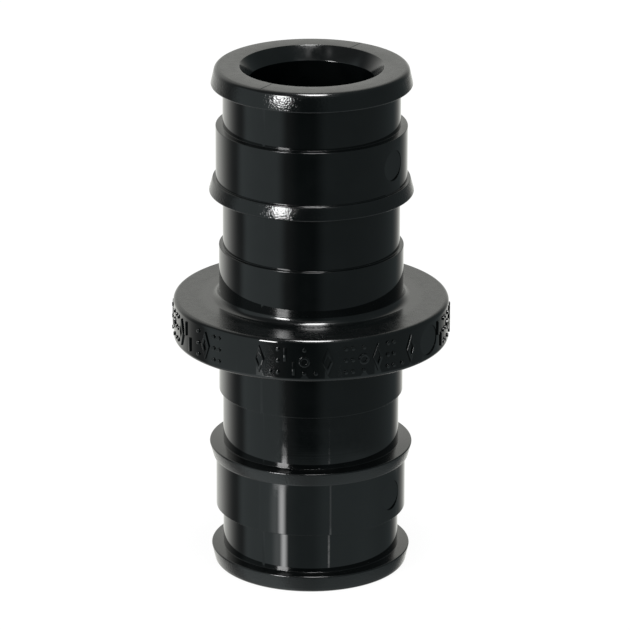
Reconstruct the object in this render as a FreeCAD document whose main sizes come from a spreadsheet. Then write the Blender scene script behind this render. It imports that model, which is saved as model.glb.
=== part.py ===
import FreeCAD, Part
import math
import os
import re

import Sketcher

# Barbed insert coupling for cold-expansion plastic tube, 3/4 in nominal.
# One injection moulding: a tubular insert each way from a central collar, one straight waterway.
# Frame: origin on the waterway's axis at the collar's mid-plane, +Z along the waterway, and
# azimuths are degrees about +Z, counted from -Y towards +X.

# Driving dimensions, in millimetres and degrees. Heights are along Z from the collar's mid-plane.
DIMENSIONS = {
    "half_length": 26.9,  # mid-plane to either end face
    "waterway_radius": 6.4,
    "mouth_radius": 7.4,  # widest radius of the lead-in at each end
    "mouth_depth": 1.4,
    "nose_radius": 9.9,  # an end face's outer corner, before its round
    "end_barb_radius": 10.33,
    "end_barb_height": 24.98,  # crest, with a flat face under it
    "neck_radius": 9.1,  # grooves between the barbs
    "land_radius": 9.82,
    "land_top_height": 20.65,
    "ledge_height": 15.05,  # small ledge at the land's foot, where the ring barb's flank starts
    "ledge_radius": 10.13,
    "ring_barb_radius": 10.53,
    "ring_barb_height": 13.6,
    "band_radius": 9.5,  # plain band against the collar
    "band_height": 7.87,
    "collar_radius": 14.2,
    "collar_thickness": 4.5,
    "root_fillet": 0.8,  # collar face to band
    "rim_round": 0.45,  # collar's outer edges
    "crest_round": 0.12,  # barb crests
    "step_round": 0.07,  # the other edges of bands, lands and ledges
    "nose_round": 0.55,
    "pull_azimuth": 58.0,  # the way the ejector half of the mould opened
    "pin_radius": 1.6,  # ejector pins, 3.2 mm across
    "pin_depth": 0.15,  # flat pin prints, at their middles
    "pin_height": 17.9,  # prints on the lands, above and below the collar
    "mark_height": 2.9,
    "mark_width": 1.15,
    "mark_stroke": 0.27,
    "mark_dot": 0.42,
    "mark_relief": 0.15,
    "mark_root": 0.4,  # how deep a mark's solid starts inside the rim
    "wide_advance": 1.55,  # room along the rim for a broad mark
    "narrow_advance": 0.8,  # and for a narrow one
    "parting_azimuth": -32.0,  # one of the two places where the mould halves met
}

# Raised register marks round the rim, one mould half's worth from its parting line on. A number is a
# gap in millimetres along the rim. Both halves carry the same run.
RIM_RUN = (
    1.8, "lozenge", "dot", "studs", "stagger", "ring", "dot", "lozenge",
    0.7, "lattice", "ring", "lozenge", "lattice",
    0.3, "dot", "lozenge",
    3.9, "stagger", "lattice", "ring", "lozenge", "studs",
    0.9, "ring", "lattice", "lozenge", "stagger",
    0.9, "studs", "lozenge", "lattice",
)
NARROW_MARKS = ("studs", "dot")

doc = FreeCAD.newDocument("barbed_coupling")
sheet = doc.addObject("Spreadsheet::Sheet", "dimensions")
for row, (alias, value) in enumerate(DIMENSIONS.items(), start=1):
    sheet.set(f"A{row}", alias)
    sheet.set(f"B{row}", str(value))
    sheet.setAlias(f"B{row}", alias)
doc.recompute()

body = doc.addObject("PartDesign::Body", "coupling_body")
body.Label = "coupling_body"
body.Placement = FreeCAD.Placement()


def size(alias):
    """A driving dimension's value."""
    return float(getattr(sheet, alias))


def cell(text):
    """An expression in which each word that is a driving dimension reads its cell."""

    def read(word):
        return f"dimensions.{word[0]}" if word[0] in DIMENSIONS else word[0]

    return re.sub(r"[a-z_]+", read, text)


def origin(role):
    """One of the body's own origin planes or axes."""
    return next(item for item in body.Origin.OriginFeatures if item.Role == role)


# ---------------------------------------------------------------- sketches


def new_sketch(name, plane):
    """A sketch flat on one of the body's origin planes."""
    sketch = body.newObject("Sketcher::SketchObject", name)
    sketch.AttachmentSupport = [(origin(plane), "")]
    sketch.MapMode = "FlatFace"
    return sketch


def facing(name, azimuth, distance):
    """A sketch standing at a distance from the Z axis and facing out along an azimuth."""
    sketch = new_sketch(name, "XZ_Plane")
    turned = f"({azimuth}) * 1 deg"
    sketch.setExpression("AttachmentOffset.Base.x", cell(f"sin({turned}) * ({distance}) * 1 mm"))
    sketch.setExpression("AttachmentOffset.Base.z", cell(f"cos({turned}) * ({distance}) * 1 mm"))
    sketch.AttachmentOffset = FreeCAD.Placement(
        FreeCAD.Vector(), FreeCAD.Rotation(FreeCAD.Vector(0, 1, 0), 1)
    )
    sketch.setExpression("AttachmentOffset.Rotation.Angle", cell(turned))
    return sketch


def place_point(sketch, geometry, point, across, up):
    """Hold a sketch point at expressions for its two coordinates."""
    for kind, expression in (("DistanceX", across), ("DistanceY", up)):
        index = sketch.addConstraint(Sketcher.Constraint(kind, -1, 1, geometry, point, 1.0))
        sketch.setExpression(f"Constraints[{index}]", cell(expression))


def outline(sketch, corners):
    """A closed line through corners, each a pair of expressions."""
    first = len(sketch.Geometry)
    count = len(corners)
    rough = [
        FreeCAD.Vector(math.cos(2 * math.pi * i / count), math.sin(2 * math.pi * i / count), 0)
        for i in range(count)
    ]
    for i in range(count):
        sketch.addGeometry(Part.LineSegment(rough[i], rough[(i + 1) % count]), False)
    for i in range(count):
        following = first + (i + 1) % count
        sketch.addConstraint(Sketcher.Constraint("Coincident", first + i, 2, following, 1))
    for i, (across, up) in enumerate(corners):
        place_point(sketch, first + i, 1, across, up)


def rectangle(sketch, across, up, width, height):
    """A rectangle about a centre, all as expressions."""
    left, right = f"({across}) - ({width}) / 2", f"({across}) + ({width}) / 2"
    low, high = f"({up}) - ({height}) / 2", f"({up}) + ({height}) / 2"
    outline(sketch, [(left, low), (right, low), (right, high), (left, high)])


def circle(sketch, radius, across="0", up="0"):
    """A circle about a centre, all as expressions."""
    shape = Part.Circle(FreeCAD.Vector(), FreeCAD.Vector(0, 0, 1), 1)
    index = sketch.addGeometry(shape, False)
    place_point(sketch, index, 3, across, up)
    rule = sketch.addConstraint(Sketcher.Constraint("Radius", index, 1.0))
    sketch.setExpression(f"Constraints[{rule}]", cell(radius))


# ---------------------------------------------------------------- features


def volume_after(feature):
    """The body's volume once a feature is its tip."""
    body.Tip = feature
    doc.recompute()
    if not feature.isValid() or feature.Shape.isNull():
        raise RuntimeError(f"{feature.Name} failed")
    return body.Shape.Volume


def expect(feature, adds):
    """Recompute, and stop if a feature that should add or remove material did not."""
    before = body.Shape.Volume
    change = volume_after(feature) - before
    if (change > 0) != adds or abs(change) < 1e-6:
        raise RuntimeError(f"{feature.Name} changed the volume by {change:.6f} mm3")


def mirror_across_collar(name, feature):
    """The same feature on the other side of the collar's mid-plane."""
    mirrored = body.newObject("PartDesign::Mirrored", name)
    mirrored.Originals = [feature]
    mirrored.MirrorPlane = (origin("XY_Plane"), [""])
    return mirrored


def rounds(name, radius, rings):
    """Fillet the circular edges at each (radius, height) pair, both sides of the mid-plane."""
    wanted = [(size(ring), abs(height)) for ring, height in rings]
    picked = []
    for index, edge in enumerate(body.Shape.Edges, start=1):
        if not isinstance(edge.Curve, Part.Circle):
            continue
        found = (edge.Curve.Radius, abs(edge.Curve.Center.z))
        if any(math.dist(found, want) < 1e-4 for want in wanted):
            picked.append(f"Edge{index}")
    if len(picked) != 2 * len(rings):
        raise RuntimeError(f"{name} found {len(picked)} edges for {len(rings)} rings each side")
    base = body.Tip
    fillet = body.newObject("PartDesign::Fillet", name)
    fillet.Base = (base, picked)
    fillet.setExpression("Radius", cell(radius))
    volume_after(fillet)


def build_insert():
    """Both inserts: the half section of the upper one turned about Z, then mirrored."""
    section = new_sketch("insert_section", "XZ_Plane")
    outline(
        section,
        [
            ("0", "0"),
            ("band_radius", "0"),
            ("band_radius", "band_height"),
            ("neck_radius", "band_height"),
            ("neck_radius", "ring_barb_height"),
            ("ring_barb_radius", "ring_barb_height"),
            ("ledge_radius", "ledge_height"),
            ("land_radius", "ledge_height"),
            ("land_radius", "land_top_height"),
            ("neck_radius", "land_top_height"),
            ("neck_radius", "end_barb_height"),
            ("end_barb_radius", "end_barb_height"),
            ("nose_radius", "half_length"),
            ("0", "half_length"),
        ],
    )
    upper = body.newObject("PartDesign::Revolution", "upper_insert")
    upper.Profile = section
    upper.ReferenceAxis = (section, ["V_Axis"])
    upper.Angle = 360
    volume_after(upper)
    expect(mirror_across_collar("lower_insert", upper), adds=True)


def build_collar():
    """The stop collar, with its fillets to the bands and its rounded rim."""
    disc = new_sketch("collar_disc", "XY_Plane")
    circle(disc, "collar_radius")
    collar = body.newObject("PartDesign::Pad", "collar")
    collar.Profile = disc
    collar.SideType = "Symmetric"
    collar.setExpression("Length", cell("collar_thickness"))
    expect(collar, adds=True)
    face = size("collar_thickness") / 2
    rounds("collar_roots", "root_fillet", [("band_radius", face)])
    rounds("collar_rim", "rim_round", [("collar_radius", face)])


def round_inserts():
    """Small rounds on every outer edge of the inserts, as a mould leaves them."""
    rounds(
        "barb_crests",
        "crest_round",
        [
            ("ring_barb_radius", size("ring_barb_height")),
            ("end_barb_radius", size("end_barb_height")),
        ],
    )
    rounds(
        "step_edges",
        "step_round",
        [
            ("band_radius", size("band_height")),
            ("ledge_radius", size("ledge_height")),
            ("land_radius", size("land_top_height")),
        ],
    )
    rounds("nose_edges", "nose_round", [("nose_radius", size("half_length"))])


def build_waterway():
    """The straight bore and the conical lead-in at each mouth."""
    hole = new_sketch("waterway_circle", "XY_Plane")
    circle(hole, "waterway_radius")
    waterway = body.newObject("PartDesign::Pocket", "waterway")
    waterway.Profile = hole
    waterway.SideType = "Symmetric"
    waterway.setExpression("Length", cell("half_length * 4"))
    expect(waterway, adds=False)

    section = new_sketch("mouth_section", "XZ_Plane")
    outline(
        section,
        [
            ("0", "half_length - mouth_depth"),
            ("waterway_radius", "half_length - mouth_depth"),
            ("mouth_radius", "half_length"),
            ("0", "half_length"),
        ],
    )
    mouth = body.newObject("PartDesign::Groove", "upper_mouth")
    mouth.Profile = section
    mouth.ReferenceAxis = (section, ["V_Axis"])
    mouth.Angle = 360
    expect(mouth, adds=False)
    expect(mirror_across_collar("lower_mouth", mouth), adds=False)


def build_pin_prints():
    """Flat prints of three ejector pins: on each land and on the collar's rim."""
    for place, radius, height in (
        ("upper_land", "land_radius", "pin_height"),
        ("collar_rim", "collar_radius", "0"),
        ("lower_land", "land_radius", "0 - pin_height"),
    ):
        disc = facing(f"{place}_pin", "pull_azimuth", f"{radius} - pin_depth")
        circle(disc, "pin_radius", up=height)
        pin_print = body.newObject("PartDesign::Pocket", f"{place}_pin_print")
        pin_print.Profile = disc
        pin_print.Reversed = True
        pin_print.setExpression("Length", cell("pin_depth * 4"))
        expect(pin_print, adds=False)


# ---------------------------------------------------------------- rim marks


def draw_dot(sketch):
    circle(sketch, "mark_dot / 2", up="(mark_dot - mark_height) / 2")


def draw_studs(sketch):
    """Three dots in a column."""
    for place in ("-1", "0", "1"):
        circle(sketch, "mark_dot / 2", up=f"{place} * (mark_height - mark_dot) / 2")


def draw_lattice(sketch):
    """Six dots, in two columns of three."""
    for side in ("-1", "1"):
        across = f"{side} * (mark_width - mark_dot) / 2"
        for place in ("-1", "0", "1"):
            circle(sketch, "mark_dot / 2", across, f"{place} * (mark_height - mark_dot) / 2")


def draw_stagger(sketch):
    """Two half-height bars, the left one high and the right one low."""
    for side in ("-1", "1"):
        across = f"{side} * (mark_width - mark_stroke) / 2"
        up = f"-1 * {side} * mark_height / 4"
        rectangle(sketch, across, up, "mark_stroke", "mark_height / 2")


def draw_ring(sketch):
    """A ring between two dots."""
    circle(sketch, "mark_width / 2")
    circle(sketch, "mark_width / 2 - mark_stroke")
    for side in ("-1", "1"):
        circle(sketch, "mark_dot / 2", up=f"{side} * (mark_height - mark_dot) / 2")


def draw_lozenge(sketch):
    """A hollow lozenge whose line has the same width all round."""
    side = "sqrt(mark_width * mark_width + mark_height * mark_height)"
    inner = f"(1 - 2 * mark_stroke * {side} / (mark_width * mark_height))"
    for share in ("1", inner):
        wide, tall = f"{share} * mark_width / 2", f"{share} * mark_height / 2"
        outline(
            sketch,
            [(f"-1 * {wide}", "0"), ("0", f"-1 * {tall}"), (wide, "0"), ("0", tall)],
        )


DRAW = {
    "dot": draw_dot,
    "studs": draw_studs,
    "lattice": draw_lattice,
    "stagger": draw_stagger,
    "ring": draw_ring,
    "lozenge": draw_lozenge,
}


def mark_azimuths():
    """Each kind of mark's azimuths all round the rim, in order."""
    places = {kind: [] for kind in DRAW}
    for half_turn in (0, 180):
        along = 0.0
        for step in RIM_RUN:
            if isinstance(step, float):
                along += step
                continue
            advance = size("narrow_advance" if step in NARROW_MARKS else "wide_advance")
            angle = math.degrees((along + advance / 2) / size("collar_radius"))
            places[step].append(size("parting_azimuth") + half_turn + angle)
            along += advance
    return places


def build_rim_marks():
    """One raised mark of each kind, patterned round the rim."""
    for kind, azimuths in mark_azimuths().items():
        face = facing(f"{kind}_mark", f"{azimuths[0]:.6f}", "collar_radius - mark_root")
        DRAW[kind](face)
        mark = body.newObject("PartDesign::Pad", f"first_{kind}")
        mark.Profile = face
        mark.setExpression("Length", cell("mark_root + mark_relief"))
        expect(mark, adds=True)
        around = body.newObject("PartDesign::PolarPattern", f"{kind}_marks")
        around.Originals = [mark]
        around.Axis = (origin("Z_Axis"), [""])
        around.Mode = "Spacing"
        around.Occurrences = len(azimuths)
        around.Spacings = [after - here for here, after in zip(azimuths, azimuths[1:])]
        expect(around, adds=True)


build_insert()
build_collar()
round_inserts()
build_waterway()
build_pin_prints()
build_rim_marks()

faults = [item.Name for item in doc.Objects if {"Invalid", "Error"} & set(item.State)]
if faults:
    raise RuntimeError(f"failed features: {faults}")
if body.Shape.isNull() or not body.Shape.isValid() or len(body.Shape.Solids) != 1:
    raise RuntimeError("coupling_body is not one valid solid")

box = body.Shape.optimalBoundingBox()
print(f"coupling_body {body.Shape.Volume:.1f} mm3, {len(body.Shape.Faces)} faces")
print(f"box {box.XLength:.2f} x {box.YLength:.2f} x {box.ZLength:.2f} mm")
os.makedirs("parts", exist_ok=True)
body.Shape.exportStep("parts/coupling_body.step")
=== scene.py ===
import math
from collections import namedtuple

import bmesh
import bpy
from mathutils import Matrix, Vector


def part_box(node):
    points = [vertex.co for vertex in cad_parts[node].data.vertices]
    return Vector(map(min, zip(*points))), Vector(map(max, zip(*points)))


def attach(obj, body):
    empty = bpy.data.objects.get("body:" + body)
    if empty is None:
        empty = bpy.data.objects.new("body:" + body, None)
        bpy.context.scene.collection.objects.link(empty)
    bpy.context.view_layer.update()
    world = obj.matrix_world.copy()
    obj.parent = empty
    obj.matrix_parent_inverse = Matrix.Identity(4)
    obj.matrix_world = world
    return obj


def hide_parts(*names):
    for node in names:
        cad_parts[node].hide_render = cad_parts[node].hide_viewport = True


# The barbed coupling as it looks: one moulding with its rounds, pin prints, rim marks and parting
# line, its black plastic, and a plain white studio with a long-lens camera.

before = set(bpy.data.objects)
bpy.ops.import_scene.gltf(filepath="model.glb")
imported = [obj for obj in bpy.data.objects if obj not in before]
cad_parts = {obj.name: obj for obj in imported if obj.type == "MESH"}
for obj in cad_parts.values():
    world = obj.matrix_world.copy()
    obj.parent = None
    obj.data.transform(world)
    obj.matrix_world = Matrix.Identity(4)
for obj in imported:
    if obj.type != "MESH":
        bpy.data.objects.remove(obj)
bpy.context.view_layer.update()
body_low, body_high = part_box("coupling_body")

# Shapes are worked out in millimetres in the frame's axes and scaled to metres at the end.
# Azimuths are degrees about +Z, counted from -Y towards +X.
MM = 0.001

HALF_LENGTH = body_high.z / MM
WATERWAY_RADIUS = 6.4
MOUTH_RADIUS = 7.4
MOUTH_DEPTH = 1.4
NOSE_RADIUS = 9.9
END_BARB_RADIUS = 10.33
END_BARB_HEIGHT = 24.98
NECK_RADIUS = 9.1
LAND_RADIUS = 9.82
LAND_TOP_HEIGHT = 20.65
LEDGE_HEIGHT = 15.05
LEDGE_RADIUS = 10.13
RING_BARB_RADIUS = 10.53
RING_BARB_HEIGHT = 13.6
BAND_RADIUS = 9.5
BAND_HEIGHT = 7.87
COLLAR_RADIUS = 14.2
COLLAR_FACE_HEIGHT = 2.25

CREST_ROUND = 0.12
STEP_ROUND = 0.07
NOSE_ROUND = 0.55
ROOT_ROUND = 0.04
MOUTH_ROUND = 0.12
COLLAR_ROOT_FILLET = 0.8
COLLAR_RIM_ROUND = 0.45

PARTING_AZIMUTH = -32.0
PARTING_HALF_WIDTH = 0.3  # degrees
PARTING_FACE_DEPTH = 0.04
PARTING_WALL_DEPTH = 0.00015
END_FACE_SKIN = 0.02  # what is this near an end face's height belongs to the end face

PIN_AZIMUTH = 58.0
PIN_RADIUS = 1.6
PIN_DEPTH = 0.15
PIN_HEIGHT = 17.9  # prints on the lands, above and below the collar
PIN_CUTTER_LENGTH = 2.0

MARK_HEIGHT = 2.9
MARK_WIDTH = 1.15
MARK_STROKE = 0.27
MARK_DOT = 0.42
MARK_RELIEF = 0.15
MARK_ROOT = 0.4  # how deep a mark's solid starts inside the rim
MARK_EDGE = 0.04  # the bevel round a mark's top
WIDE_ADVANCE = 1.55  # room along the rim for a broad mark
NARROW_ADVANCE = 0.8  # and for a narrow one

# One mould half's run of marks from its parting line on; a number is a gap along the rim.
RIM_RUN = (
    1.8, "lozenge", "dot", "studs", "stagger", "ring", "dot", "lozenge",
    0.7, "lattice", "ring", "lozenge", "lattice",
    0.3, "dot", "lozenge",
    3.9, "stagger", "lattice", "ring", "lozenge", "studs",
    0.9, "ring", "lattice", "lozenge", "stagger",
    0.9, "studs", "lozenge", "lattice",
)
NARROW_MARKS = ("studs", "dot")

LATHE_STEPS = 288
PIN_STEPS = 64
DOT_STEPS = 20
ARC_TOLERANCE = 0.0015  # how far a round's flat faces may stand off its true arc
SHARP_ANGLE = 32.0  # degrees


def around(azimuth, elevation=0.0):
    """The unit vector that points along an azimuth and elevation."""
    turn, rise = math.radians(azimuth), math.radians(elevation)
    return Vector(
        (math.sin(turn) * math.cos(rise), -math.cos(turn) * math.cos(rise), math.sin(rise))
    )


# ---------------------------------------------------------------- the moulding's mesh


def upper_corners():
    """The upper half's section from the bore round to the collar's rim: (radius, height, round)."""
    return [
        (WATERWAY_RADIUS, HALF_LENGTH - MOUTH_DEPTH, MOUTH_ROUND),
        (MOUTH_RADIUS, HALF_LENGTH, MOUTH_ROUND),
        (NOSE_RADIUS, HALF_LENGTH, NOSE_ROUND),
        (END_BARB_RADIUS, END_BARB_HEIGHT, CREST_ROUND),
        (NECK_RADIUS, END_BARB_HEIGHT, ROOT_ROUND),
        (NECK_RADIUS, LAND_TOP_HEIGHT, ROOT_ROUND),
        (LAND_RADIUS, LAND_TOP_HEIGHT, STEP_ROUND),
        (LAND_RADIUS, LEDGE_HEIGHT, ROOT_ROUND),
        (LEDGE_RADIUS, LEDGE_HEIGHT, STEP_ROUND),
        (RING_BARB_RADIUS, RING_BARB_HEIGHT, CREST_ROUND),
        (NECK_RADIUS, RING_BARB_HEIGHT, ROOT_ROUND),
        (NECK_RADIUS, BAND_HEIGHT, ROOT_ROUND),
        (BAND_RADIUS, BAND_HEIGHT, STEP_ROUND),
        (BAND_RADIUS, COLLAR_FACE_HEIGHT, COLLAR_ROOT_FILLET),
        (COLLAR_RADIUS, COLLAR_FACE_HEIGHT, COLLAR_RIM_ROUND),
    ]


def section_points():
    """The whole closed section as (radius, height) points, each corner turned into an arc."""
    upper = upper_corners()
    corners = upper + [(r, -z, rounding) for r, z, rounding in reversed(upper)]
    points = []
    for i, (radius, height, rounding) in enumerate(corners):
        here = Vector((radius, height))
        back = (Vector(corners[i - 1][:2]) - here).normalized()
        ahead = (Vector(corners[(i + 1) % len(corners)][:2]) - here).normalized()
        half = back.angle(ahead) / 2
        centre = here + (back + ahead).normalized() * rounding / math.sin(half)
        start = here + back * rounding / math.tan(half) - centre
        end = here + ahead * rounding / math.tan(half) - centre
        turn = start.angle_signed(end)
        steps = math.ceil(abs(turn) / (2 * math.acos(1 - ARC_TOLERANCE / rounding)))
        for step in range(steps + 1):
            spoke = start.copy()
            spoke.rotate(Matrix.Rotation(-turn * step / steps, 2))
            points.append(centre + spoke)
    return points


def lathe_azimuths():
    """Even steps round the axis, with three close together at each parting line."""
    even = [PARTING_AZIMUTH + 360 * i / LATHE_STEPS for i in range(LATHE_STEPS)]
    extra = [
        PARTING_AZIMUTH + half_turn + side * PARTING_HALF_WIDTH
        for half_turn in (0, 180)
        for side in (-1, 1)
    ]
    return sorted(even + extra)


def parting_depth(azimuth, point):
    """How deep the groove where the mould halves met is at an azimuth and section point."""
    if point.x < MOUTH_RADIUS:
        return 0.0
    away = (azimuth - PARTING_AZIMUTH + 90) % 180 - 90
    on_end_face = abs(point.y) > HALF_LENGTH - END_FACE_SKIN
    deepest = PARTING_FACE_DEPTH if on_end_face else PARTING_WALL_DEPTH
    return deepest * max(0.0, 1 - abs(away) / PARTING_HALF_WIDTH)


def turned_body():
    """The section turned about Z as a closed mesh, with the parting line cut into its outside."""
    points = section_points()
    mesh = bmesh.new()
    columns = []
    for azimuth in lathe_azimuths():
        outward = around(azimuth)
        column = []
        for i, point in enumerate(points):
            along = (points[(i + 1) % len(points)] - points[i - 1]).normalized()
            depth = parting_depth(azimuth, point)
            radius = point.x + along.y * depth
            height = point.y - along.x * depth
            place = outward * radius + Vector((0, 0, height))
            column.append(mesh.verts.new(place))
        columns.append(column)
    for left, right in zip(columns, columns[1:] + columns[:1]):
        for i in range(len(points)):
            j = (i + 1) % len(points)
            mesh.faces.new((left[i], left[j], right[j], right[i]))
    bmesh.ops.recalc_face_normals(mesh, faces=mesh.faces)
    return mesh


def as_object(name, mesh):
    """A new object that holds a bmesh."""
    data = bpy.data.meshes.new(name)
    mesh.to_mesh(data)
    mesh.free()
    thing = bpy.data.objects.new(name, data)
    bpy.context.scene.collection.objects.link(thing)
    return thing


def pin_cutters():
    """Cylinders that stand where the three ejector pins did, outside their flat prints."""
    mesh = bmesh.new()
    outward = around(PIN_AZIMUTH)
    turn = outward.to_track_quat("Z", "Y").to_matrix().to_4x4()
    for radius, height in (
        (LAND_RADIUS, PIN_HEIGHT),
        (COLLAR_RADIUS, 0.0),
        (LAND_RADIUS, -PIN_HEIGHT),
    ):
        middle = radius - PIN_DEPTH + PIN_CUTTER_LENGTH / 2
        centre = outward * middle + Vector((0, 0, height))
        bmesh.ops.create_cone(
            mesh, cap_ends=True, segments=PIN_STEPS, radius1=PIN_RADIUS, radius2=PIN_RADIUS,
            depth=PIN_CUTTER_LENGTH, matrix=Matrix.Translation(centre) @ turn,
        )
    return as_object("pin_cutters", mesh)


# ---------------------------------------------------------------- rim marks


def box_loop(across, up, width, height):
    """A rectangle's corners about a centre."""
    return [
        (across + i * width / 2, up + j * height / 2)
        for i, j in ((-1, -1), (1, -1), (1, 1), (-1, 1))
    ]


def circle_loop(radius, up=0.0, across=0.0):
    """Points round a circle."""
    turns = [2 * math.pi * i / DOT_STEPS for i in range(DOT_STEPS)]
    return [(across + radius * math.cos(turn), up + radius * math.sin(turn)) for turn in turns]


def lozenge_loop(share):
    """A lozenge's corners, at a share of the mark's size."""
    wide, tall = share * MARK_WIDTH / 2, share * MARK_HEIGHT / 2
    return [(-wide, 0), (0, -tall), (wide, 0), (0, tall)]


def dots(*levels, across=0.0):
    """A mark's dots, at levels from -1 at its foot to 1 at its head."""
    reach = (MARK_HEIGHT - MARK_DOT) / 2
    return [(circle_loop(MARK_DOT / 2, level * reach, across), None) for level in levels]


def mark_outlines(kind):
    """Each separate shape of a mark as (outer loop, hole loop or None)."""
    if kind == "dot":
        return dots(-1)
    if kind == "studs":
        return dots(-1, 0, 1)
    if kind == "lattice":
        reach = (MARK_WIDTH - MARK_DOT) / 2
        return dots(-1, 0, 1, across=-reach) + dots(-1, 0, 1, across=reach)
    if kind == "stagger":
        reach = (MARK_WIDTH - MARK_STROKE) / 2
        return [
            (box_loop(i * reach, -i * MARK_HEIGHT / 4, MARK_STROKE, MARK_HEIGHT / 2), None)
            for i in (-1, 1)
        ]
    if kind == "ring":
        ring = (circle_loop(MARK_WIDTH / 2), circle_loop(MARK_WIDTH / 2 - MARK_STROKE))
        return dots(-1, 1) + [ring]
    side = math.hypot(MARK_WIDTH, MARK_HEIGHT)
    inner = 1 - 2 * MARK_STROKE * side / (MARK_WIDTH * MARK_HEIGHT)
    return [(lozenge_loop(1), lozenge_loop(inner))]


def raise_outline(mesh, azimuth, outer, hole):
    """A solid with rounded top edges whose outline is wrapped on the rim at an azimuth."""

    def ring(loop, radius):
        return [
            mesh.verts.new(
                around(azimuth + math.degrees(across / COLLAR_RADIUS)) * radius + Vector((0, 0, up))
            )
            for across, up in loop
        ]

    def wall(low, high, flip):
        for i in range(len(low)):
            j = (i + 1) % len(low)
            quad = [low[i], low[j], high[j], high[i]]
            mesh.faces.new(quad[::-1] if flip else quad)

    top_radius, root_radius = COLLAR_RADIUS + MARK_RELIEF, COLLAR_RADIUS - MARK_ROOT
    top, root = ring(outer, top_radius), ring(outer, root_radius)
    wall(root, top, False)
    rims = [top]
    if hole is None:
        mesh.faces.new(top)
        mesh.faces.new(root[::-1])
    else:
        hole_top, hole_root = ring(hole, top_radius), ring(hole, root_radius)
        wall(hole_root, hole_top, True)
        wall(top, hole_top, False)
        wall(root, hole_root, True)
        rims.append(hole_top)
    edges = [
        mesh.edges.get((rim[i], rim[(i + 1) % len(rim)])) for rim in rims for i in range(len(rim))
    ]
    bmesh.ops.bevel(
        mesh, geom=edges, offset=MARK_EDGE, segments=2, profile=0.5, affect="EDGES",
        clamp_overlap=True,
    )


def rim_marks():
    """Every raised mark round the rim as one object of separate solids."""
    mesh = bmesh.new()
    for half_turn in (0, 180):
        along = 0.0
        for step in RIM_RUN:
            if isinstance(step, float):
                along += step
                continue
            advance = NARROW_ADVANCE if step in NARROW_MARKS else WIDE_ADVANCE
            turn = math.degrees((along + advance / 2) / COLLAR_RADIUS)
            for outer, hole in mark_outlines(step):
                raise_outline(mesh, PARTING_AZIMUTH + half_turn + turn, outer, hole)
            along += advance
    bmesh.ops.recalc_face_normals(mesh, faces=mesh.faces)
    return as_object("rim_marks", mesh)


def combine(thing, tool, operation):
    """Apply a boolean with a tool object, and remove the tool."""
    modifier = thing.modifiers.new(operation.lower(), "BOOLEAN")
    modifier.object = tool
    modifier.operation = operation
    modifier.solver = "EXACT"
    depsgraph = bpy.context.evaluated_depsgraph_get()
    made = bpy.data.meshes.new_from_object(thing.evaluated_get(depsgraph))
    thing.modifiers.clear()
    thing.data = made
    bpy.data.objects.remove(tool)


def build_moulding():
    """The whole coupling as one closed mesh, in metres, shaded by its real edges."""
    moulding = as_object("moulded_coupling", turned_body())
    combine(moulding, pin_cutters(), "DIFFERENCE")
    combine(moulding, rim_marks(), "UNION")
    data = moulding.data
    data.transform(Matrix.Scale(MM, 4))
    data.shade_smooth()
    data.set_sharp_from_angle(angle=math.radians(SHARP_ANGLE))
    weighting = moulding.modifiers.new("flat_faces_stay_flat", "WEIGHTED_NORMAL")
    weighting.keep_sharp = True
    weighting.weight = 100
    # Faces with many corners are split here, where no sliver of one can fold over on its neighbour.
    splitting = moulding.modifiers.new("many_corners_are_split", "TRIANGULATE")
    splitting.min_vertices = 5
    splitting.keep_custom_normals = True
    return moulding


# ---------------------------------------------------------------- node helpers


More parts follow.
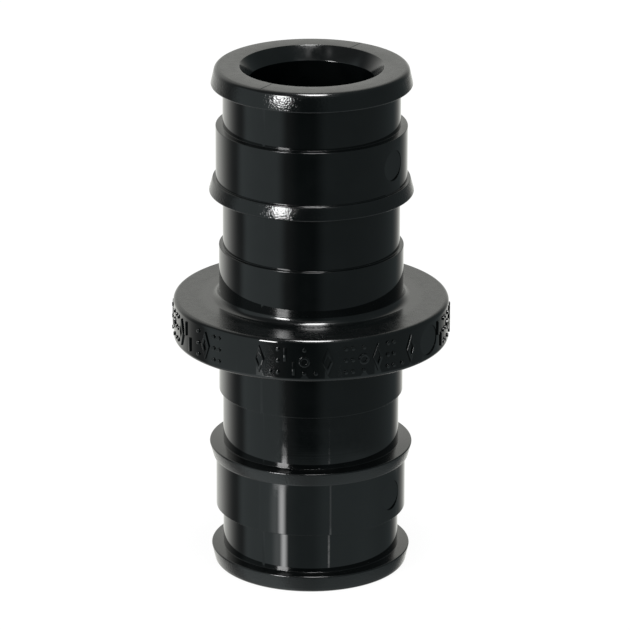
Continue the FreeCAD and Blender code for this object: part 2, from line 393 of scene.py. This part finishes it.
class Tree:
    """A node tree with short ways to add and join nodes."""

    def __init__(self, owner):
        owner.use_nodes = True
        self.tree = owner.node_tree
        self.tree.nodes.clear()

    def add(self, kind, settings=None, **inputs):
        """A new node. Inputs are numbers, vectors or sockets, by the socket's name."""
        node = self.tree.nodes.new(kind)
        for name, value in (settings or {}).items():
            setattr(node, name, value)
        for name, value in inputs.items():
            self.feed(node.inputs[name.replace("_", " ")], value)
        return node

    def feed(self, socket, value):
        """Join a socket to another, or set its value."""
        if isinstance(value, bpy.types.NodeSocket):
            self.tree.links.new(value, socket)
        else:
            socket.default_value = value

    def math(self, operation, *values):
        """The result of a Math node."""
        node = self.tree.nodes.new("ShaderNodeMath")
        node.operation = operation
        for socket, value in zip(node.inputs, values):
            self.feed(socket, value)
        return node.outputs[0]

    def vector(self, operation, *values, result="Vector"):
        """The result of a Vector Math node."""
        node = self.tree.nodes.new("ShaderNodeVectorMath")
        node.operation = operation
        for socket, value in zip(node.inputs, values):
            self.feed(socket, value)
        return node.outputs[result]

    def ramp(self, value, start, end, low=0.0, high=1.0):
        """A smooth step from low at start to high at end."""
        node = self.tree.nodes.new("ShaderNodeMapRange")
        node.interpolation_type = "SMOOTHSTEP"
        for name, number in (
            ("Value", value), ("From Min", start), ("From Max", end),
            ("To Min", low), ("To Max", high),
        ):
            self.feed(node.inputs[name], number)
        return node.outputs["Result"]

    def zone(self, value, low, high, edge):
        """1 between two lengths in millimetres and 0 outside them, with soft edges."""
        start = self.ramp(value, (low - edge) * MM, (low + edge) * MM)
        end = self.ramp(value, (high + edge) * MM, (high - edge) * MM)
        return self.math("MULTIPLY", start, end)

    def mix(self, share, first, second, kind="FLOAT"):
        """The first value at share 0 and the second at 1. The kind is FLOAT or RGBA."""
        node = self.add("ShaderNodeMix", {"data_type": kind})
        live = [socket for socket in node.inputs if socket.enabled]
        for socket, value in zip(live, (share, first, second)):
            self.feed(socket, value)
        return next(socket for socket in node.outputs if socket.enabled)

    def noise(self, place, grain, detail=2.0, roughness=0.5):
        """Noise from 0 to 1 whose lumps are about one grain wide, in millimetres."""
        node = self.add(
            "ShaderNodeTexNoise", Vector=place, Scale=1 / (grain * MM), Detail=detail,
            Roughness=roughness,
        )
        return node.outputs["Fac"]

    def bump(self, height, depth, below=None):
        """A surface normal raised by a height from 0 to 1 times a depth in millimetres."""
        node = self.add("ShaderNodeBump", Height=height, Distance=depth * MM, Strength=1.0)
        if below is not None:
            self.feed(node.inputs["Normal"], below)
        return node.outputs["Normal"]


# ---------------------------------------------------------------- material


# How rough each kind of surface is, from its smoothest patches to its roughest.
WALL_FINISH = (0.015, 0.03)
SLOPE_FINISH = (0.13, 0.17)
FLANK_FINISH = (0.10, 0.13)
FLAT_FINISH = (0.17, 0.21)
RIM_FINISH = (0.04, 0.06)
FACE_FINISH = (0.25, 0.31)

# Relief in the material: the width and depth of its lumps, in millimetres.
WAVE_GRAIN, WAVE_DEPTH = 4.0, 0.0025
LINE_GRAIN, LINE_DEPTH = 0.16, 0.00008
SPARK_GRAIN, SPARK_DEPTH = 0.17, 0.023
FACE_SPARK_SHARE = 0.25  # how much of the flanks' grain the end and collar faces have


def flank_zone(nodes, radius, height):
    """1 on the sloping flanks of the barbs."""
    ring_flank = nodes.zone(height, RING_BARB_HEIGHT + 0.1, LEDGE_HEIGHT - 0.1, 0.05)
    end_flank = nodes.zone(height, END_BARB_HEIGHT + 0.1, HALF_LENGTH - 0.45, 0.05)
    outside = nodes.ramp(radius, (NECK_RADIUS - 0.2) * MM, NECK_RADIUS * MM)
    return nodes.math("MULTIPLY", nodes.math("MAXIMUM", ring_flank, end_flank), outside)


def face_zone(nodes, radius, height, flat):
    """1 on the end faces and the collar's two faces, outside its root fillets."""
    end_face = nodes.ramp(height, (HALF_LENGTH - 0.3) * MM, (HALF_LENGTH - 0.1) * MM)
    collar_face = nodes.ramp(radius, (BAND_RADIUS + 1.4) * MM, (BAND_RADIUS + 2.3) * MM)
    return nodes.math("MULTIPLY", flat, nodes.math("MAXIMUM", end_face, collar_face))


def plastic_relief(nodes, place, radius, grained):
    """The surface normal: shallow waves, tool lines round the axis, and grain where it is wanted."""
    x, y, z = nodes.add("ShaderNodeSeparateXYZ", Vector=place).outputs
    # This place changes quickly along the section and slowly round the axis.
    along_the_section = nodes.add(
        "ShaderNodeCombineXYZ",
        X=nodes.math("MULTIPLY", x, 0.02), Y=nodes.math("MULTIPLY", y, 0.02),
        Z=nodes.math("ADD", z, nodes.math("MULTIPLY", radius, 2.0)),
    ).outputs["Vector"]
    waves = nodes.bump(nodes.noise(place, WAVE_GRAIN, detail=1), WAVE_DEPTH)
    lines = nodes.bump(nodes.noise(along_the_section, LINE_GRAIN, detail=2), LINE_DEPTH, waves)
    grain = nodes.noise(place, SPARK_GRAIN, detail=1, roughness=0.4)
    return nodes.bump(nodes.math("MULTIPLY", grain, grained), SPARK_DEPTH, lines)


def moulded_plastic():
    """Black moulded plastic: glossy walls, duller slopes, and finely grained flanks and faces."""
    material = bpy.data.materials.new("moulded_plastic")
    nodes = Tree(material)
    place = nodes.add("ShaderNodeTexCoord").outputs["Object"]
    x, y, z = nodes.add("ShaderNodeSeparateXYZ", Vector=place).outputs
    height = nodes.math("ABSOLUTE", z)
    radius_squared = nodes.math("ADD", nodes.math("POWER", x, 2), nodes.math("POWER", y, 2))
    radius = nodes.math("SQRT", radius_squared)
    facing = nodes.add("ShaderNodeNewGeometry").outputs["Normal"]
    upward = nodes.math("ABSOLUTE", nodes.add("ShaderNodeSeparateXYZ", Vector=facing).outputs["Z"])

    slopes = nodes.ramp(upward, 0.05, 0.2)
    flanks = flank_zone(nodes, radius, height)
    flat = nodes.ramp(upward, 0.8, 0.97)
    outermost = nodes.ramp(radius, (COLLAR_RADIUS - 0.5) * MM, (COLLAR_RADIUS - 0.3) * MM)
    rim = nodes.math("MULTIPLY", outermost, nodes.ramp(upward, 0.8, 0.4))
    faces = face_zone(nodes, radius, height, flat)

    cloud = nodes.ramp(nodes.noise(place, 2.6, detail=3), 0.35, 0.65)
    colour = nodes.mix(cloud, (0.0011, 0.0016, 0.0017, 1), (0.0019, 0.0025, 0.0026, 1), "RGBA")
    patches = nodes.noise(place, 0.7, detail=4)
    roughness = nodes.ramp(patches, 0.3, 0.7, *WALL_FINISH)
    for zone, finish in (
        (slopes, SLOPE_FINISH), (flanks, FLANK_FINISH), (flat, FLAT_FINISH), (rim, RIM_FINISH),
        (faces, FACE_FINISH),
    ):
        roughness = nodes.mix(zone, roughness, nodes.ramp(patches, 0.3, 0.7, *finish))

    grained = nodes.math("MAXIMUM", flanks, nodes.math("MULTIPLY", faces, FACE_SPARK_SHARE))
    shader = nodes.add(
        "ShaderNodeBsdfPrincipled", Base_Color=colour, Roughness=roughness,
        Normal=plastic_relief(nodes, place, radius, grained), IOR=1.6,
    )
    nodes.add("ShaderNodeOutputMaterial", Surface=shader.outputs["BSDF"])
    return material


# ---------------------------------------------------------------- studio


Panel = namedtuple("Panel", "azimuth half_width edge low high rise radiance tint")
COOL = (0.84, 1.0, 1.02)
NEUTRAL = (1.0, 1.0, 1.0)
WARM = (1.0, 1.0, 0.95)

# The studio round the object, as soft-edged bright areas seen from it. Angles are in degrees: the
# middle azimuth, half the width and the softness of its sides, the lowest and highest elevation and
# the softness of those, and how bright it is against the white background's 1.
STUDIO = {
    "backdrop": Panel(191, 41, 22, -35, 60, 8, 0.83, WARM),
    "floor_behind": Panel(191, 41, 22, -95, -35, 8, 0.44, WARM),
    "table_behind": Panel(191, 41, 22, -95, -13, 3, 0.15, WARM),
    "left_card": Panel(-67, 30, 7, -95, 32, 6, 0.30, COOL),
    "left_wall": Panel(-85, 60, 12, -95, 95, 6, 0.10, NEUTRAL),
    "right_wall": Panel(75, 64, 10, -95, 95, 6, 0.12, COOL),
    "room": Panel(0, 200, 5, -95, 95, 5, 0.038, COOL),
    "near_table": Panel(20, 75, 30, -95, -20.95, 0.12, 0.16, COOL),
    "table_below": Panel(0, 200, 5, -95, -36, 8, 0.12, NEUTRAL),
    "lit_table": Panel(-70, 60, 30, -95, -30, 10, 0.12, NEUTRAL),
    "key_skirt": Panel(-36, 7, 2, -12, 6, 3, 0.5, NEUTRAL),
    "key_streak": Panel(-35.2, 3.4, 3.2, -27, -21.42, 0.06, 5.4, NEUTRAL),
    "key_wing": Panel(-43, 6, 5, -27, -21.42, 0.2, 0.5, NEUTRAL),
    "key_foot": Panel(-37.3, 8, 4, -21.44, -21.1, 0.04, 2.0, NEUTRAL),
    "key_corner": Panel(-37, 3.2, 3, -21.2, -21.08, 0.03, 2.6, NEUTRAL),
    "key_sliver": Panel(-34.6, 3.0, 2.0, -21.2, -20.95, 0.04, 8.5, NEUTRAL),
    "slit": Panel(24.4, 0.7, 1.2, -22.6, -21.3, 0.15, 0.45, NEUTRAL),
    "slit_foot": Panel(24.4, 1.1, 0.9, -21.22, -21.06, 0.04, 2.6, NEUTRAL),
    "slit_spot": Panel(24.4, 1.1, 0.9, -22.06, -21.96, 0.03, 1.8, NEUTRAL),
    "shelf": Panel(8, 22, 12, 37, 44, 2.5, 0.9, NEUTRAL),
    "lamp_arm": Panel(8, 4, 3, 49, 58, 3, 1.0, NEUTRAL),
    "second_arm": Panel(-38, 4, 3, 48, 56, 3, 0.7, NEUTRAL),
}

# The two lamps: where each stands and how wide and tall it is in degrees, all seen from the object,
# and how bright it is on the same scale.
Lamp = namedtuple("Lamp", "azimuth elevation wide tall radiance")
LAMPS = {
    "key_lamp": Lamp(-35.8, 17, 13.5, 20, 28.0),
    "top_softbox": Lamp(10, 79, 15, 30, 22.0),
}
LAMP_DISTANCE = 2.0

FLOOR_GLOW = 0.96
FLOOR_PAINT = 0.06
FLOOR_HALF_SIDE = 4.0

CAMERA_LENS = 306.8  # millimetres
CAMERA_DISTANCE = 0.5544
CAMERA_ELEVATION = 19.49  # degrees, as is the roll
CAMERA_ROLL = 0.18
CAMERA_SHIFT = (0.00617, 0.00001)
CAMERA_FAR_CLIP = 10.0


def studio_world():
    """The studio as the world's light, and plain white behind everything that the camera sees."""
    world = bpy.data.worlds.new("studio")
    bpy.context.scene.world = world
    nodes = Tree(world)
    direction = nodes.add("ShaderNodeTexCoord").outputs["Generated"]
    _, _, up = nodes.add("ShaderNodeSeparateXYZ", Vector=direction).outputs
    elevation = nodes.math("DEGREES", nodes.math("ARCSINE", up))
    level = nodes.vector("NORMALIZE", nodes.vector("MULTIPLY", direction, (1, 1, 0)))
    total = (0.0, 0.0, 0.0)
    for panel in STUDIO.values():
        bottom = nodes.ramp(elevation, panel.low - panel.rise, panel.low + panel.rise)
        top = nodes.ramp(elevation, panel.high + panel.rise, panel.high - panel.rise)
        part = nodes.math("MULTIPLY", bottom, top)
        if panel.half_width < 180:
            cosine = nodes.vector("DOT_PRODUCT", level, around(panel.azimuth), result="Value")
            away = nodes.math("DEGREES", nodes.math("ARCCOSINE", cosine))
            sides = nodes.ramp(away, panel.half_width + panel.edge, panel.half_width - panel.edge)
            part = nodes.math("MULTIPLY", part, sides)
        colour = [panel.radiance * share for share in panel.tint]
        total = nodes.vector("MULTIPLY_ADD", part, colour, total)
    seen = nodes.add("ShaderNodeLightPath").outputs["Is Camera Ray"]
    light = nodes.mix(seen, total, (1, 1, 1, 1), "RGBA")
    background = nodes.add("ShaderNodeBackground", Color=light)
    nodes.add("ShaderNodeOutputWorld", Surface=background.outputs["Background"])


def hang_lamp(name, lamp):
    """A soft rectangular lamp that shines on the object and that the camera doesn't see."""
    data = bpy.data.lights.new(name, "AREA")
    data.shape = "RECTANGLE"
    data.size = 2 * LAMP_DISTANCE * math.tan(math.radians(lamp.wide / 2))
    data.size_y = 2 * LAMP_DISTANCE * math.tan(math.radians(lamp.tall / 2))
    data.energy = lamp.radiance * math.pi * data.size * data.size_y
    thing = bpy.data.objects.new(name, data)
    place = around(lamp.azimuth, lamp.elevation) * LAMP_DISTANCE
    turn = place.to_track_quat("Z", "Y").to_matrix().to_4x4()
    thing.matrix_world = Matrix.Translation(place) @ turn
    thing.visible_camera = False
    bpy.context.scene.collection.objects.link(thing)


def studio_floor():
    """A plain white floor, level with the lower end face, that glows so that shade stays faint."""
    mesh = bmesh.new()
    bmesh.ops.create_grid(
        mesh, x_segments=1, y_segments=1, size=FLOOR_HALF_SIDE,
        matrix=Matrix.Translation((0, 0, body_low.z)),
    )
    floor = as_object("floor", mesh)
    material = bpy.data.materials.new("white_floor")
    nodes = Tree(material)
    glow = nodes.add("ShaderNodeEmission", Strength=FLOOR_GLOW)
    paint = nodes.add("ShaderNodeBsdfDiffuse", Color=(FLOOR_PAINT, FLOOR_PAINT, FLOOR_PAINT, 1))
    both = nodes.add("ShaderNodeAddShader")
    nodes.feed(both.inputs[0], glow.outputs["Emission"])
    nodes.feed(both.inputs[1], paint.outputs["BSDF"])
    nodes.add("ShaderNodeOutputMaterial", Surface=both.outputs["Shader"])
    floor.data.materials.append(material)
    floor.visible_glossy = False
    floor.visible_diffuse = False
    floor.visible_shadow = False


def studio_camera():
    """A long lens a little above the object, aimed at its middle."""
    data = bpy.data.cameras.new("camera")
    data.lens = CAMERA_LENS
    data.shift_x, data.shift_y = CAMERA_SHIFT
    data.clip_end = CAMERA_FAR_CLIP
    camera = bpy.data.objects.new("camera", data)
    camera.matrix_world = (
        Matrix.Translation(around(0, CAMERA_ELEVATION) * CAMERA_DISTANCE)
        @ Matrix.Rotation(math.radians(90 - CAMERA_ELEVATION), 4, "X")
        @ Matrix.Rotation(math.radians(CAMERA_ROLL), 4, "Z")
    )
    bpy.context.scene.collection.objects.link(camera)
    bpy.context.scene.camera = camera


moulding = build_moulding()
moulding.data.materials.clear()
moulding.data.materials.append(moulded_plastic())
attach(moulding, "root")
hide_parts("coupling_body")

bpy.context.scene.view_settings.view_transform = "Standard"
studio_world()
for lamp_name, lamp_place in LAMPS.items():
    hang_lamp(lamp_name, lamp_place)
studio_floor()
studio_camera()
